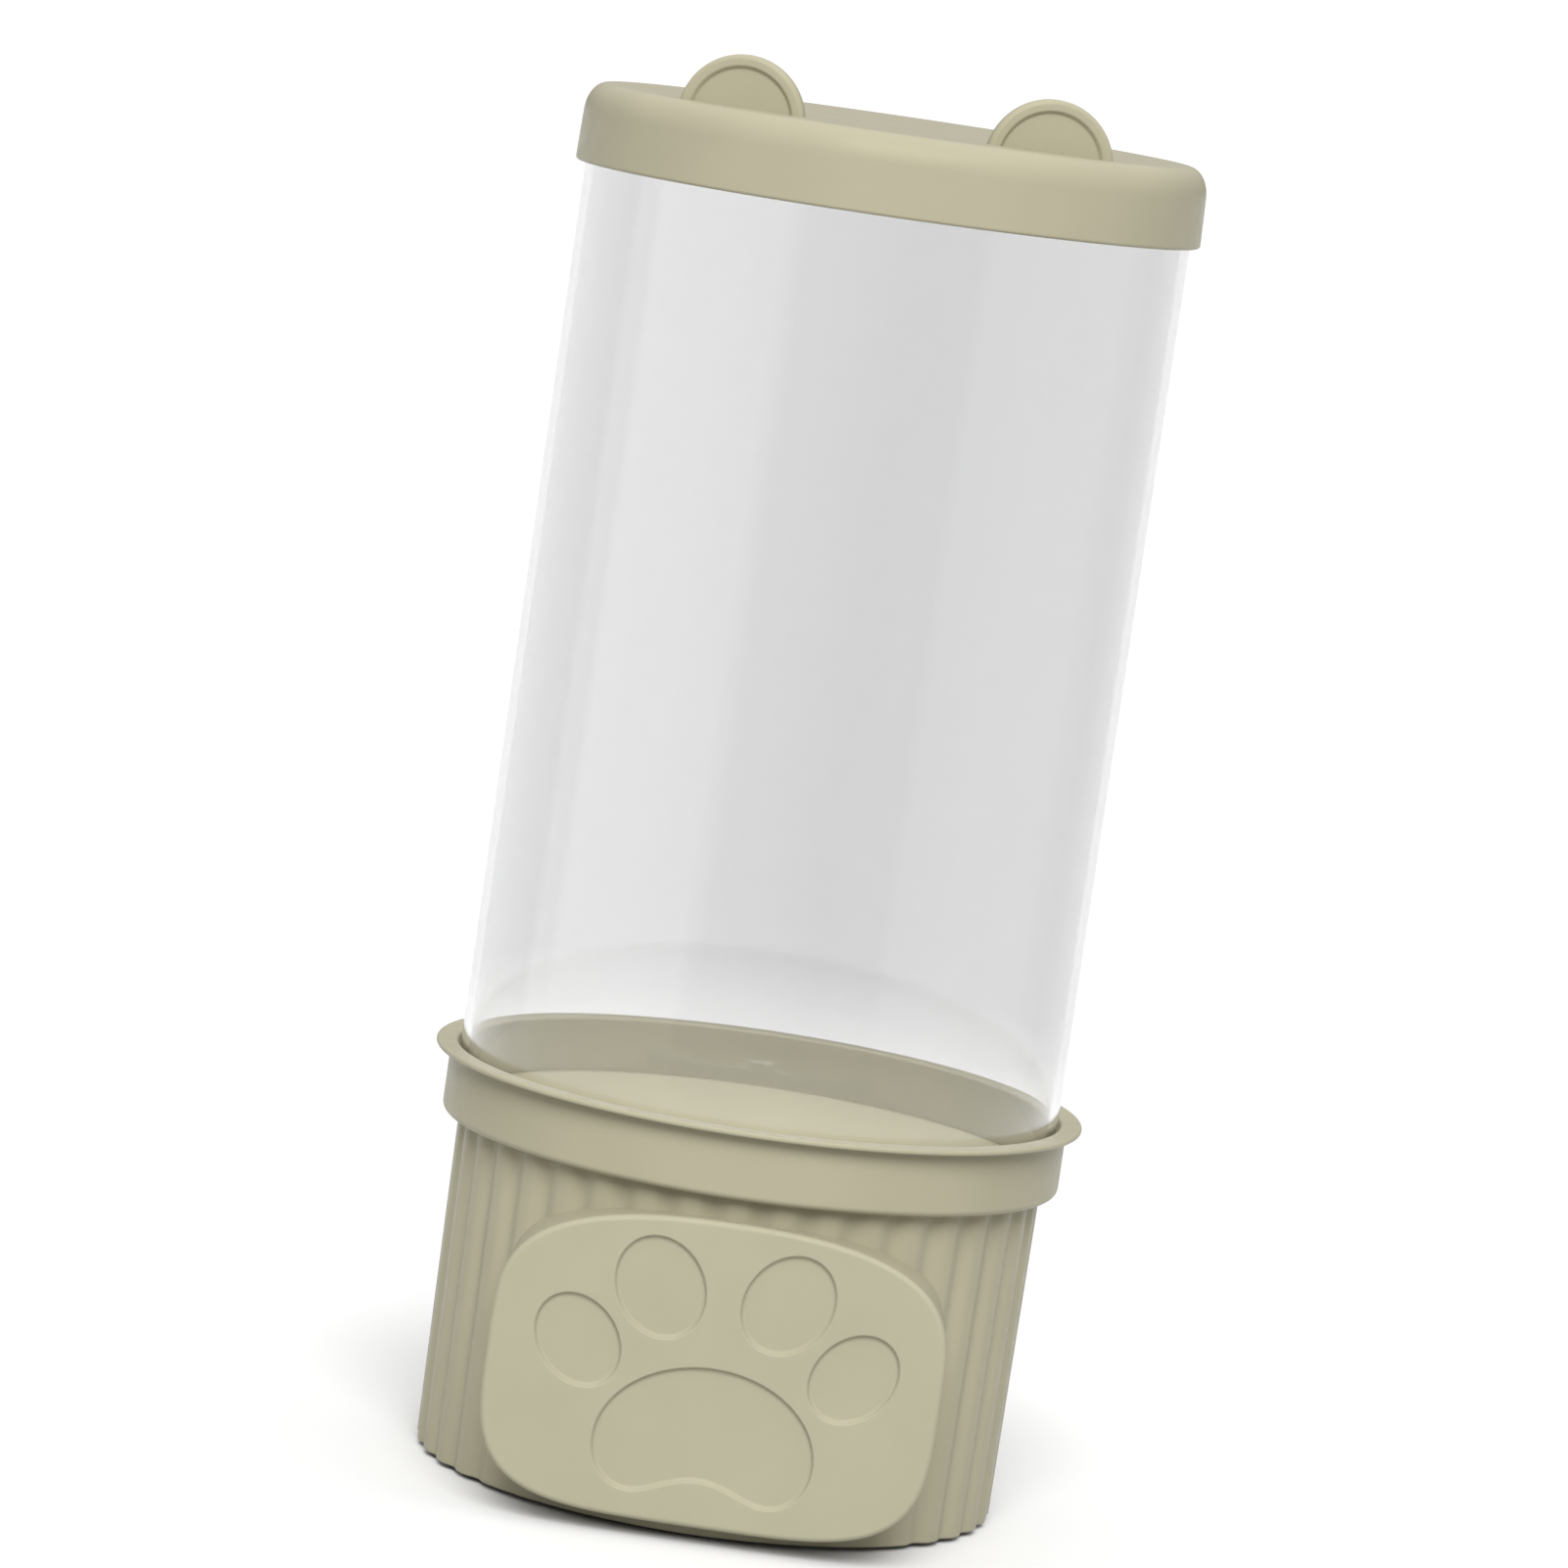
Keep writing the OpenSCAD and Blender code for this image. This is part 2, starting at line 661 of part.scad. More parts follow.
module feed_bin() {
  color(inner_colour) difference() {
    union() {
      translate([-bin_x, 0, 0]) bin_side();
      translate([bin_x - bin_wall, 0, 0]) bin_side();
      bin_back();
      block([-bin_x, plate_back_y, bin_floor_z],
            [bin_x, pin_y + bin_r*cos(bin_fan_start) - 0.2, bin_floor_z + bin_wall]);
      block([-bin_x, plate_back_y, bin_floor_z], [bin_x, plate_back_y + bin_front_t, bin_front_top_z]);
      for (side = [-1, 1])
        rod_x([side > 0 ? bin_x - cut : -bin_x - bin_stop_reach, pin_y + bin_stop_ring*cos(bin_stop_angle),
               pin_z + bin_stop_ring*sin(bin_stop_angle)], bin_stop_r, bin_stop_reach + cut);
    }
    rod_x([-bin_x - 1, pin_y, pin_z], pin_r, 2*bin_x + 2);
    at_bin_screws() rod_y([0, plate_back_y - 1, 0], 1.1, 6);
  }
}

module at_bin_screws() {
  for (x = [-bin_screw_x, bin_screw_x], z = bin_screw_z) translate([x, 0, z]) children();
}

// Steel pins fixed in the bin's sides, which turn in the base's cheeks
module bin_pins() {
  color(steel_colour) for (side = [-1, 1])
    rod_x([side > 0 ? bin_x - bin_wall : -pin_hole_x + pin_gap, pin_y, pin_z],
          pin_r, pin_hole_x - pin_gap - bin_x + bin_wall);
}

module bin_screws() {
  color(steel_colour) at_bin_screws() translate([0, plate_back_y + bin_front_t, 0]) rotate([90, 0, 0])
    screw(2.2, 1, 0.9, 3.6);
}

// Paw plate: a shallow panel with four toe prints and one large pad print
module paw_print() {
  for (side = [-1, 1], toe = [outer_toe, inner_toe])
    polygon(ellipse([side*toe[0], toe[1]], toe[2], toe[3], -side*toe[4]));
  polygon(pad_outline());
}

module paw_plate() {
  color(plate_colour) difference() {
    upright(plate_face_y, plate_t, plate_z) polygon(plate_outline(0));
    upright(plate_face_y - 1, 1 + paw_depth, plate_z) paw_print();
    at_bin_screws() rod_y([0, plate_back_y - 1.7, 0], small_pilot_r, 3);
  }
}

// Battery holder, open towards the door below
module battery_holder() {
  color(black_colour) difference() {
    block([-holder_x, holder_y[0], holder_z[0]], [holder_x, holder_y[1], holder_z[1]]);
    for (i = [-1:1]) {
      rod_y([i*cell_pitch, tab_y[0], cell_z], cell_r + 0.3, tab_y[1] + tab_t - tab_y[0]);
      block([i*cell_pitch - cell_r - 0.3, tab_y[0], 0],
            [i*cell_pitch + cell_r + 0.3, tab_y[1] + tab_t, cell_z]);
    }
  }
}

module batteries() {
  color(cell_colour) for (i = [-1:1]) {
    front_y = i == 0 ? tab_y[0] + tab_t : tab_y[1] - cell_length;
    rod_y([i*cell_pitch, i == 0 ? front_y + 1 : front_y, cell_z], cell_r, cell_length - 1);
    rod_y([i*cell_pitch, i == 0 ? front_y : front_y + cell_length - 1 - cut, cell_z], 2.7, 1 + cut);
  }
}

// Flat tab at one end of each cell, and a spring of three turns at the other
module battery_contacts() {
  color(steel_colour) for (i = [-1:1]) {
    spring_y = i == 0 ? tab_y[1] - 0.3 : tab_y[0] + tab_t + 0.3;
    inward = i == 0 ? -1 : 1;
    for (y = tab_y)
      block([i*cell_pitch - 4, y, cell_z - 5], [i*cell_pitch + 4, y + tab_t, cell_z + 5]);
    for (turn = [0:2])
      translate([i*cell_pitch, spring_y + inward*turn*spring_pitch, cell_z])
        rotate([90, 0, 0]) rotate_extrude() translate([3.4 - turn*0.6, 0]) circle(r = 0.4, $fn = 16);
  }
}

module battery_door() {
  grip = 3;
  color(shell_colour) difference() {
    union() {
      block([-door_x, door_y[0], door_z[1]], [door_x, door_y[1], door_z[2]]);
      block([-door_x + door_lip, door_y[0], door_z[0]], [door_x - door_lip, door_y[1], door_z[1] + cut]);
    }
    for (i = [0:3]) block([-8, door_y[1] - 6 - i*grip, 0], [8, door_y[1] - 4.8 - i*grip, door_z[0] + 0.5]);
  }
}

// Board with its switch, light and connectors, held on four posts at the back
module circuit_board() {
  color(board_colour) difference() {
    block([-board_x, board_y[0], board_z[0]], [board_x, board_y[1], board_z[1]]);
    for (x = [-board_post[0], board_post[0]], z = [board_post[1], board_post[2]])
      rod_y([x, board_y[0] - 1, z], 1.1, 4);
  }
}

module board_parts() {
  color(black_colour) {
    block([-3, board_y[1], button_z - 3], [3, board_y[1] + switch_depth, button_z + 3]);
    rod_y([0, board_y[1] + switch_depth - cut, button_z], 1.6, plunger + cut);
    rod_y([lens_x - 1, board_y[1], button_z], 1.5, switch_depth);
    block([-6, board_y[0] - 1.4, button_z - 4], [2, board_y[0], button_z + 4]);
    for (x = plug_x) block([x - 2.6, plug_y, plug_z - 2.5], [x + 2.6, board_y[0], plug_z + 2.5]);
  }
}

module board_screws() {
  color(steel_colour) for (x = [-board_post[0], board_post[0]], z = [board_post[1], board_post[2]])
    translate([x, board_y[0], z]) rotate([-90, 0, 0]) screw(2, 1, 0.9, 5.5);
}

module status_lens() {
  color(lens_colour) {
    rod_y([lens_x, board_y[1] + 3, button_z], lens_r, seat_face_y + 0.3 - board_y[1] - 3);
    rod_y([lens_x, board_y[1] + 3, button_z], lens_r + 1, 1);
  }
}

module feed_button() {
  color(plate_colour) {
    rod_y([0, button_flange_y, button_z], button_r, button_face_y - button_flange_y);
    rod_y([0, button_flange_y, button_z], button_r + 1.3, 1.2);
    rod_y([0, button_flange_y - 0.8, button_z], 2, 1);
  }
}

// A wire through a short list of corners, eight-sided. Each run goes past its inner corners
// by its own radius, so that the runs join.
module wire(points, r) {
  last = len(points) - 2;
  for (i = [0:last]) {
    span = points[i + 1] - points[i];
    length = norm(span);
    before = i > 0 ? r : 0;
    after = i < last ? r : 0;
    translate(points[i]) rotate([0, acos(span[2]/length), atan2(span[1], span[0])])
      translate([0, 0, -before]) cylinder(r = r, h = length + before + after, $fn = 8);
  }
}

// Two leads from the batteries and two from the motor to the board's connectors
module wiring() {
  lead_z = plug_z - 2.5;
  color(wire_colour) for (i = [-1, 1]) {
    wire([[-20 + i, 44, holder_z[1]], [-20 + i, 44, plug_z - 1.2*i],
          [plug_x[0] + i, 45, plug_z - 1.2*i], [plug_x[0] + i, plug_y, plug_z - 1.2*i]], 0.7);
    wire([[2.5*i, motor_half[1], lead_z], [2.5*i, 8, lead_z], [plug_x[1] + i, 22, lead_z],
          [plug_x[1] + i, 42, lead_z], [plug_x[1] + i, 44, plug_z],
          [plug_x[1] + i, plug_y, plug_z]], 0.6);
  }
}

lid();
lid_seal();
hopper_tube();
base_cup();
bottom_cover();
cover_screws();
rubber_feet();
feed_funnel();
rotor_housing();
housing_screws();
outlet_chute();
shaft_bush();
portion_wheel();
output_shaft();
stirrer();
stirrer_screw();
motor_can();
motor_gearbox();
motor_bracket();
motor_screws();
feed_bin();
bin_pins();
bin_screws();
paw_plate();
battery_holder();
batteries();
battery_contacts();
battery_door();
circuit_board();
board_parts();
board_screws();
status_lens();
feed_button();
wiring();
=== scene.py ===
import json
import math

import bmesh
import bpy
import numpy as np
from mathutils import Matrix, Vector
from mathutils.geometry import tessellate_polygon


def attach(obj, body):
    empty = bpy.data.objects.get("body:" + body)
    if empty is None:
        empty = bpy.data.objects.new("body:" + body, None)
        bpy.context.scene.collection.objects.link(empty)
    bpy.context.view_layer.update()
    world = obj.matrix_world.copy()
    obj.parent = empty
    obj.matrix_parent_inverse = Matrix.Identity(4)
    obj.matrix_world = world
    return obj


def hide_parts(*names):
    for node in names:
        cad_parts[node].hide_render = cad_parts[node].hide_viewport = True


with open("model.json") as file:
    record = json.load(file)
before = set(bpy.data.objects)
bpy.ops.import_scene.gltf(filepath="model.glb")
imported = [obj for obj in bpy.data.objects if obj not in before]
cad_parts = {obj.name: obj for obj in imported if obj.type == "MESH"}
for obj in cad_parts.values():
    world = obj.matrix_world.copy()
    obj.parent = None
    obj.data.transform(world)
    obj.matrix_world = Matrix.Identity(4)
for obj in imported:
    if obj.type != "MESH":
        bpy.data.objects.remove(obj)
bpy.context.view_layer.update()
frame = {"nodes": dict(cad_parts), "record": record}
cad_nodes = frame["nodes"]

MM = 0.001

# Camera: a long lens in front of the feeder and a little above it, rolled by 8 degrees.
LENS_MM, SENSOR_MM = 168.4, 36
CAMERA_AT = (-0.00403, -1.5644, 0.3441)
CAMERA_ROUND, CAMERA_DOWN, CAMERA_ROLL = 0.7, 6.98, 8.29

camera_data = bpy.data.cameras.new("camera")
camera_data.lens = LENS_MM
camera_data.sensor_width = SENSOR_MM
camera = bpy.data.objects.new("camera", camera_data)
camera.matrix_world = (Matrix.Rotation(math.radians(CAMERA_ROUND), 4, "Z")
                       @ Matrix.Translation(CAMERA_AT)
                       @ Matrix.Rotation(math.radians(90 - CAMERA_DOWN), 4, "X")
                       @ Matrix.Rotation(math.radians(CAMERA_ROLL), 4, "Z"))
bpy.context.scene.collection.objects.link(camera)
bpy.context.scene.camera = camera


# ---------------------------------------------------------------- materials

NOISE_RANGE = (0.3, 0.7)            # where most of a noise texture's values lie


def new_material(name):
    material = bpy.data.materials.new(name)
    material.use_nodes = True
    tree = material.node_tree
    tree.nodes.clear()
    output = tree.nodes.new("ShaderNodeOutputMaterial")
    shader = tree.nodes.new("ShaderNodeBsdfPrincipled")
    tree.links.new(shader.outputs["BSDF"], output.inputs["Surface"])
    return material, tree, shader


def noise(tree, coords, size_mm, detail=2.0, stretch=None):
    """A noise texture with features of about size_mm, and its coordinates stretched if asked."""
    if stretch is not None:
        mapping = tree.nodes.new("ShaderNodeMapping")
        mapping.inputs["Scale"].default_value = stretch
        tree.links.new(coords, mapping.inputs["Vector"])
        coords = mapping.outputs["Vector"]
    texture = tree.nodes.new("ShaderNodeTexNoise")
    texture.inputs["Scale"].default_value = 1 / (size_mm * MM)
    texture.inputs["Detail"].default_value = detail
    tree.links.new(coords, texture.inputs["Vector"])
    return texture.outputs["Fac"]


def mapped(tree, value, source, target):
    """Maps a value from one range onto another."""
    node = tree.nodes.new("ShaderNodeMapRange")
    for name, number in zip(("From Min", "From Max", "To Min", "To Max"), (*source, *target)):
        node.inputs[name].default_value = number
    tree.links.new(value, node.inputs["Value"])
    return node.outputs["Result"]


def tones(tree, value, colour, amount):
    """Colours from a little darker to a little lighter than the one given."""
    ramp = tree.nodes.new("ShaderNodeValToRGB")
    for element, factor, place in zip(ramp.color_ramp.elements, (1 - amount, 1 + amount), NOISE_RANGE):
        element.position = place
        element.color = [min(1.0, c * factor) for c in colour] + [1]
    tree.links.new(value, ramp.inputs["Fac"])
    return ramp.outputs["Color"]


def mixed(tree, blend, amount, first, second):
    """Mixes two colours. Each argument is an output to link, or a plain value."""
    node = tree.nodes.new("ShaderNodeMix")
    node.data_type = "RGBA"
    node.blend_type = blend
    for index, value in ((0, amount), (6, first), (7, second)):
        if isinstance(value, bpy.types.NodeSocket):
            tree.links.new(value, node.inputs[index])
        else:
            node.inputs[index].default_value = value
    return node.outputs[2]


def on_rays(tree, *kinds):
    """1 on rays of the one or two kinds named, and 0 on all others."""
    rays = tree.nodes.new("ShaderNodeLightPath")
    either = tree.nodes.new("ShaderNodeMath")
    either.operation = "MAXIMUM"
    either.inputs[1].default_value = 0.0
    for socket, kind in zip(either.inputs, kinds):
        tree.links.new(rays.outputs[kind], socket)
    return either.outputs["Value"]


def switch(tree, rays, usual, special):
    """Makes a material show its usual shader, and the special one to the rays chosen."""
    mix = tree.nodes.new("ShaderNodeMixShader")
    for socket, source in zip(mix.inputs, (rays, usual.outputs["BSDF"], special.outputs["BSDF"])):
        tree.links.new(source, socket)
    tree.links.new(mix.outputs["Shader"], tree.nodes["Material Output"].inputs["Surface"])


def surface(name, colour, roughness, mottle=0.02, mottle_mm=18, grain_mm=0.5, grain_depth=0.006,
            metallic=0.0, ior=1.5, stretch=None, subsurface=0.0, coat=0.0, gloss=(1, 1, 1)):
    """Opaque moulded or metal surface: mottled colour, uneven gloss and a fine grain."""
    material, tree, shader = new_material(name)
    coords = tree.nodes.new("ShaderNodeTexCoord").outputs["Object"]
    broad = noise(tree, coords, mottle_mm, 3.0)
    tree.links.new(tones(tree, broad, colour, mottle), shader.inputs["Base Color"])
    uneven = noise(tree, coords, mottle_mm / 5, 3.0, stretch)
    rough = mapped(tree, uneven, NOISE_RANGE, (roughness - 0.05, roughness + 0.05))
    tree.links.new(rough, shader.inputs["Roughness"])
    grain = noise(tree, coords, grain_mm, 2.0, stretch)
    bump = tree.nodes.new("ShaderNodeBump")
    bump.inputs["Strength"].default_value = 0.6
    bump.inputs["Distance"].default_value = grain_depth * MM
    tree.links.new(grain, bump.inputs["Height"])
    tree.links.new(bump.outputs["Normal"], shader.inputs["Normal"])
    shader.inputs["Metallic"].default_value = metallic
    shader.inputs["IOR"].default_value = ior
    shader.inputs["Specular Tint"].default_value = (*gloss, 1)
    shader.inputs["Coat Weight"].default_value = coat
    shader.inputs["Subsurface Weight"].default_value = subsurface
    shader.inputs["Subsurface Scale"].default_value = 1.0 * MM
    return material


FADE_MM, FOOT_TINT = 16, 0.15       # height over which the tube's tint and painted reflections come in, and what is left below; the clearer foot is painted light that lightens the cup's inside seen through the tube


def paint_reflections(tree, coords, tint_and_reflection, bands, foot):
    """Painted reflections: the tint made lighter and darker in upright stripes, (place across X in
    millimetres, brightness), and nearly clear at its foot, which is painted light that lightens what is
    seen through it there.
    """
    axes = tree.nodes.new("ShaderNodeSeparateXYZ")
    tree.links.new(coords, axes.inputs["Vector"])
    low, high = bands[0][0], bands[-1][0]
    ramp = tree.nodes.new("ShaderNodeValToRGB")
    while len(ramp.color_ramp.elements) < len(bands):
        ramp.color_ramp.elements.new(0.5)
    for element, (place, level) in zip(ramp.color_ramp.elements, bands):
        element.position = (place - low) / (high - low)
        element.color = (level, level, level, 1)
    across = mapped(tree, axes.outputs["X"], (low * MM, high * MM), (0, 1))
    tree.links.new(across, ramp.inputs["Fac"])
    # Painted reflection: the tint darkened and lightened in upright stripes across X
    tint_and_reflection = mixed(tree, "MULTIPLY", 1.0, tint_and_reflection, ramp.outputs["Color"])
    # Painted light: the tint and its painted reflections fade out towards the foot, so the cup's inside
    # seen through the tube shows lighter
    fade = mapped(tree, axes.outputs["Z"], (foot * MM, (foot + FADE_MM) * MM), (FOOT_TINT, 1))
    return mixed(tree, "MIX", fade, (1, 1, 1, 1), tint_and_reflection)


def clear(name, colour, streaks, bands=None, foot=0.0):
    """Clear plastic, with faint streaks along Z as an extruded tube has, and painted reflections in
    upright stripes across X when these are given. Light that falls on something behind it passes through
    it unchanged."""
    material, tree, shader = new_material(name)
    coords = tree.nodes.new("ShaderNodeTexCoord").outputs["Object"]
    streak = noise(tree, coords, 26, 1.0, (1.0, 1.0, 0.02))
    tint_and_reflection = tones(tree, streak, colour, streaks)
    if bands:
        # Painted reflections in upright stripes on the tube, fading out at its foot
        tint_and_reflection = paint_reflections(tree, coords, tint_and_reflection, bands, foot)
    tree.links.new(tint_and_reflection, shader.inputs["Base Color"])
    smear = noise(tree, coords, 12, 3.0)
    tree.links.new(mapped(tree, smear, NOISE_RANGE, (0.0, 0.03)), shader.inputs["Roughness"])
    shader.inputs["Transmission Weight"].default_value = 1.0
    shader.inputs["IOR"].default_value = 1.49
    passing = tree.nodes.new("ShaderNodeBsdfTransparent")
    switch(tree, on_rays(tree, "Is Shadow Ray", "Is Diffuse Ray"), shader, passing)
    return material


# Painted reflections on the clear tube: brightness of its tint in upright stripes, by place across X in
# millimetres
REFLECTION_BANDS = [(-65, 0.93), (-51, 0.935), (-50, 0.99), (-36, 0.985), (-19, 0.965), (-18, 0.935), (0, 0.905),
         (8, 0.895), (22, 0.9), (23, 0.915), (39, 0.935), (55, 0.925), (56, 0.885), (65, 0.88)]
# Height of the tube's foot, where its tint and painted reflections fade out
REFLECTION_FOOT = 89
SHELL = (0.356, 0.334, 0.238)
PLATE = (0.346, 0.329, 0.237)
GLOSS = (0.72, 0.66, 0.46)
looks = {
    "shell": surface("shell_plastic", SHELL, 0.36, ior=1.22, gloss=GLOSS),
    "plate": surface("plate_plastic", PLATE, 0.55, grain_mm=0.7, grain_depth=0.01, ior=1.4,
                     gloss=GLOSS),
    "clear": clear("clear_acrylic", (0.83, 0.83, 0.831), 0.008, REFLECTION_BANDS, REFLECTION_FOOT),
    "seal": surface("silicone", (0.72, 0.71, 0.68), 0.5, subsurface=0.3),
    "rubber": surface("foot_rubber", (0.02, 0.02, 0.021), 0.75, grain_mm=0.3, grain_depth=0.02),
    "inner": surface("inner_plastic", (0.66, 0.64, 0.56), 0.45, subsurface=0.1),
    "wheel": surface("wheel_plastic", (0.26, 0.34, 0.32), 0.5),
    "steel": surface("zinc_steel", (0.56, 0.57, 0.59), 0.32, metallic=1.0, grain_mm=0.4,
                     stretch=(1, 1, 8)),
    "brass": surface("brass", (0.62, 0.43, 0.16), 0.3, metallic=1.0, grain_mm=0.4),
    "bracket": surface("white_nylon", (0.72, 0.72, 0.69), 0.5, subsurface=0.1),
    "black": surface("black_plastic", (0.022, 0.022, 0.024), 0.45, grain_mm=0.4),
    "cell": surface("battery_sleeve", (0.05, 0.09, 0.14), 0.25, metallic=0.4, coat=0.5),
    "board": surface("solder_mask", (0.02, 0.14, 0.06), 0.3, mottle=0.15, mottle_mm=2),
    "lens": clear("lens_acrylic", (0.93, 0.97, 0.93), 0.01),
    "wire": surface("wire_insulation", (0.35, 0.02, 0.02), 0.4),
}

for row in frame["record"]["subparts"]:
    for place in cad_nodes[row["node"]].material_slots:
        place.material = looks[row["material_slot"]]


# ---------------------------------------------------------------- mesh helpers, all in millimetres

MERGE, SLIVER = 0.002, 0.0005       # points closer than this are one, and edges shorter are removed


def add_piece(name, parts, body, slot, replaced, sharp=40):
    """Joins (vertices, faces) parts into one smooth piece that stands for a CAD node."""
    points, faces = [], []
    for part_points, part_faces in parts:
        start = len(points)
        points.extend(tuple(float(c) * MM for c in p) for p in part_points)
        faces.extend(tuple(start + i for i in face) for face in part_faces)
    mesh = bpy.data.meshes.new(name)
    work = bmesh.new()
    vertices = [work.verts.new(p) for p in points]
    for face in faces:
        corners = [vertices[i] for i in face]
        if len(set(corners)) > 2:
            try:
                work.faces.new(corners)
            except ValueError:          # the face is there already
                pass
    start = 0
    for part_points, _ in parts:
        own = vertices[start:start + len(part_points)]
        start += len(part_points)
        bmesh.ops.remove_doubles(work, verts=own, dist=MERGE * MM)
    bmesh.ops.dissolve_degenerate(work, dist=SLIVER * MM, edges=work.edges)
    bmesh.ops.recalc_face_normals(work, faces=work.faces)
    work.to_mesh(mesh)
    work.free()
    mesh.polygons.foreach_set("use_smooth", [True] * len(mesh.polygons))
    mesh.set_sharp_from_angle(angle=math.radians(sharp))
    piece = bpy.data.objects.new(name, mesh)
    piece.data.materials.append(looks[slot])
    bpy.context.scene.collection.objects.link(piece)
    normals = piece.modifiers.new("normals", "WEIGHTED_NORMAL")
    normals.keep_sharp = True
    normals.weight = 80
    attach(piece, body)
    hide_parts(replaced)


def rounded(corners, steps=6):
    """A closed outline with its corners rounded. Each corner is (u, v, radius)."""
    outline = []
    count = len(corners)
    for i, (u, v, radius) in enumerate(corners):
        here = np.array((u, v), float)
        if radius <= 0:
            outline.append(here)
            continue
        before = np.array(corners[i - 1][:2], float) - here
        after = np.array(corners[(i + 1) % count][:2], float) - here
        before /= np.linalg.norm(before)
        after /= np.linalg.norm(after)
        half = math.acos(np.clip(before @ after, -1, 1)) / 2
        reach = radius / math.tan(half)
        middle = (before + after) / np.linalg.norm(before + after)
        centre = here + middle * radius / math.sin(half)
        first = here + before * reach - centre
        last = here + after * reach - centre
        turn = math.atan2(first[0] * last[1] - first[1] * last[0], first @ last)
        for k in range(steps + 1):
            angle = turn * k / steps
            c, s = math.cos(angle), math.sin(angle)
            outline.append(centre + np.array((c * first[0] - s * first[1], s * first[0] + c * first[1])))
    return np.array(outline)


def grid_faces(rows, columns, close_rows, close_columns, skip=None):
    """Four-sided faces of a grid of points, but for those that skip(row, column) leaves out."""
    faces = []
    for i in range(rows if close_rows else rows - 1):
        for j in range(columns if close_columns else columns - 1):
            if skip is None or not skip(i, j):
                i2, j2 = (i + 1) % rows, (j + 1) % columns
                faces.append((i * columns + j, i * columns + j2, i2 * columns + j2, i2 * columns + j))
    return faces


def turned(profile, columns=288, closed=True):
    """A solid of revolution about Z from a profile in (radius, height)."""
    angles = np.arange(columns) * 2 * math.pi / columns
    points = [(r * math.cos(a), r * math.sin(a), z) for r, z in profile for a in angles]
    return points, grid_faces(len(profile), columns, closed, True)


def offset(loop, distance):
    """Moves a closed anticlockwise loop inwards by a distance."""
    ahead = np.roll(loop, -1, axis=0) - np.roll(loop, 1, axis=0)
    ahead /= np.linalg.norm(ahead, axis=1)[:, None]
    return loop + distance * np.column_stack((-ahead[:, 1], ahead[:, 0]))


def smooth(loop, times):
    """Rounds off a closed loop by averaging each point with its neighbours."""
    for _ in range(times):
        loop = (np.roll(loop, 1, axis=0) + 2 * loop + np.roll(loop, -1, axis=0)) / 4
    return loop


def even(loop, count):
    """Resamples a closed loop at even spacing."""
    closed = np.vstack((loop, loop[:1]))
    along = np.concatenate(([0], np.cumsum(np.linalg.norm(np.diff(closed, axis=0), axis=1))))
    at = np.arange(count) * along[-1] / count
    return np.column_stack([np.interp(at, along, closed[:, k]) for k in (0, 1)])


def flat_faces(loops, starts):
    """Triangles of a flat face between an outer loop and its holes, as indices into the whole."""
    chain = [[Vector((p[0], p[1], 0)) for p in loop] for loop in loops]
    index = [start + k for loop, start in zip(loops, starts) for k in range(len(loop))]
    return [tuple(index[i] for i in triangle) for triangle in tessellate_polygon(chain)]


def panel(outline, edge, recesses=(), place=lambda u, v, w: (u, w, v)):
    """A flat panel with shaped edges. The edge is a list of (inset, depth) from the back to the front,
    and each recess is (loop, list of (inset, depth)) from the front face to its floor."""
    points, faces, through = [], [], []
    back_depth = edge[0][1]

    def stack(loop, steps):
        first = len(points)
        for inset, depth in steps:
            points.extend(place(u, v, depth) for u, v in offset(loop, inset))
        faces.extend(tuple(first + i for i in face)
                     for face in grid_faces(len(steps), len(loop), False, True))
        return first, first + (len(steps) - 1) * len(loop)

    back, front = stack(outline, edge)
    face_loops, face_starts = [offset(outline, edge[-1][0])], [front]
    for loop, steps in recesses:
        top, floor = stack(loop, steps)
        face_loops.append(offset(loop, steps[0][0]))
        face_starts.append(top)
        bottom = offset(loop, steps[-1][0])
        if steps[-1][1] == back_depth:
            through.append(bottom)
        else:
            faces.extend(flat_faces([bottom], [floor]))
    faces.extend(flat_faces(face_loops, face_starts))
    # Known fault, in the back face only: all through holes are joined at the first one's points.
    back_starts = [back] + [len(points)] * len(through)
    for loop in through:
        points.extend(place(u, v, back_depth) for u, v in loop)
    faces.extend(flat_faces([offset(outline, edge[0][0])] + through, back_starts))
    return points, faces


def rod(centre, radius, low, high, axis="z", edge=0.2, columns=32):
    """A closed rod with softened ends, along Z or Y, between two places on that axis."""
    profile = [(0, low), (radius - edge, low), (radius, low + edge), (radius, high - edge),
               (radius - edge, high), (0, high)]
    points, faces = turned(profile, columns, False)
    u, v = centre
    if axis == "y":
        return [(x + u, z, y + v) for x, y, z in points], faces
    return [(x + u, y + v, z) for x, y, z in points], faces


def circle(radius, centre=(0, 0), count=64, ry=None, turn=0.0):
    """Points of a circle or a turned ellipse."""
    a = np.arange(count) * 2 * math.pi / count
    u, v = radius * np.cos(a), (radius if ry is None else ry) * np.sin(a)
    c, s = math.cos(math.radians(turn)), math.sin(math.radians(turn))
    return np.column_stack((centre[0] + u * c - v * s, centre[1] + u * s + v * c))


# ---------------------------------------------------------------- lid

LID_TOP, LID_BOTTOM, LID_CEILING = 295.9, 279.0, 293.2
SHOULDER_R, SHOULDER_WIDE, SHOULDER_HIGH = 62.4, 4.4, 6.5
SKIRT_R, SKIRT_IN = 67.1, 65.5
PLUG_R, PLUG_IN, PLUG_LOW = 62.6, 59.6, 280.2
SEAL_R, SEAL_LOW, SEAL_HIGH = 61.2, 283.2, 286.4

